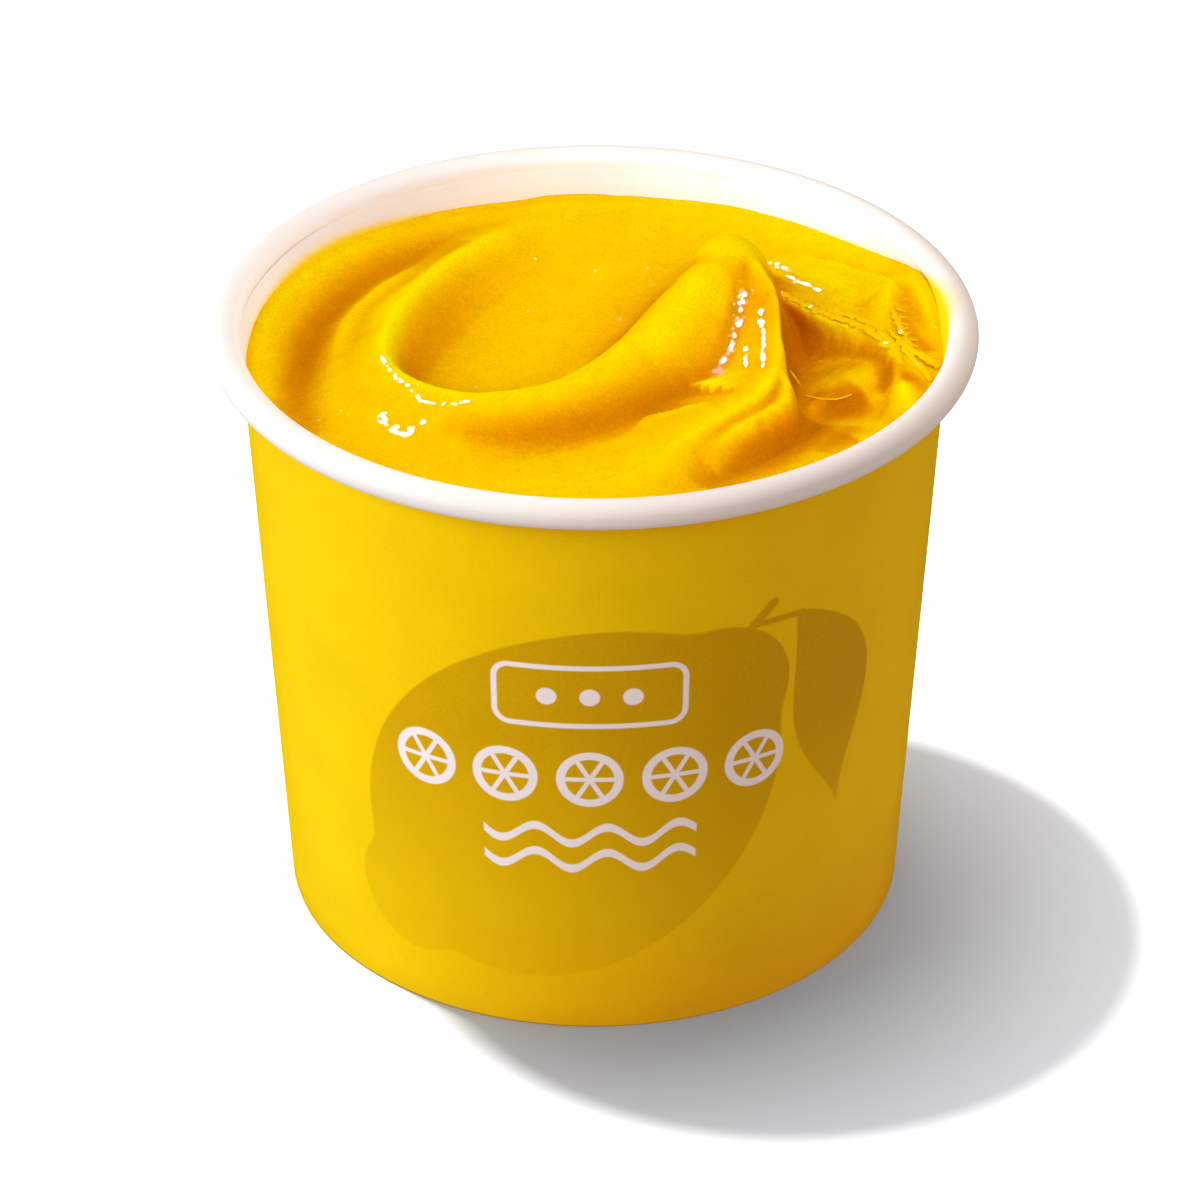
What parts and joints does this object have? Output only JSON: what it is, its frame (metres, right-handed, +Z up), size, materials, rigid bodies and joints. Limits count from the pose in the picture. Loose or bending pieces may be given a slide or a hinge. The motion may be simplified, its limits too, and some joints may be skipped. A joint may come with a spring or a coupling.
{
  "type": "sorbet cup",
  "caption": "Small paperboard cup with a rolled white rim and yellow print, filled with smooth yellow sorbet swirled into a standing wave.",
  "frame": {"origin": "centre of the ring that the cup stands on, at the level of the surface under it", "axes": "+Z up along the cup's axis; -Y towards the printed front; the sorbet's standing crest is on the +X +Y side"},
  "size_m": [0.074, 0.074, 0.0653],
  "materials": {
    "cup_wall": "coated paperboard, yellow print outside, bare white rim and inside",
    "cup_base": "uncoated white paperboard",
    "sorbet": "smooth wet frozen sorbet with fine ice grain"
  },
  "bodies": {
    "root": {"cup_wall": "cup_wall", "cup_base": "cup_base", "sorbet": "sorbet"}
  },
  "joints": []
}
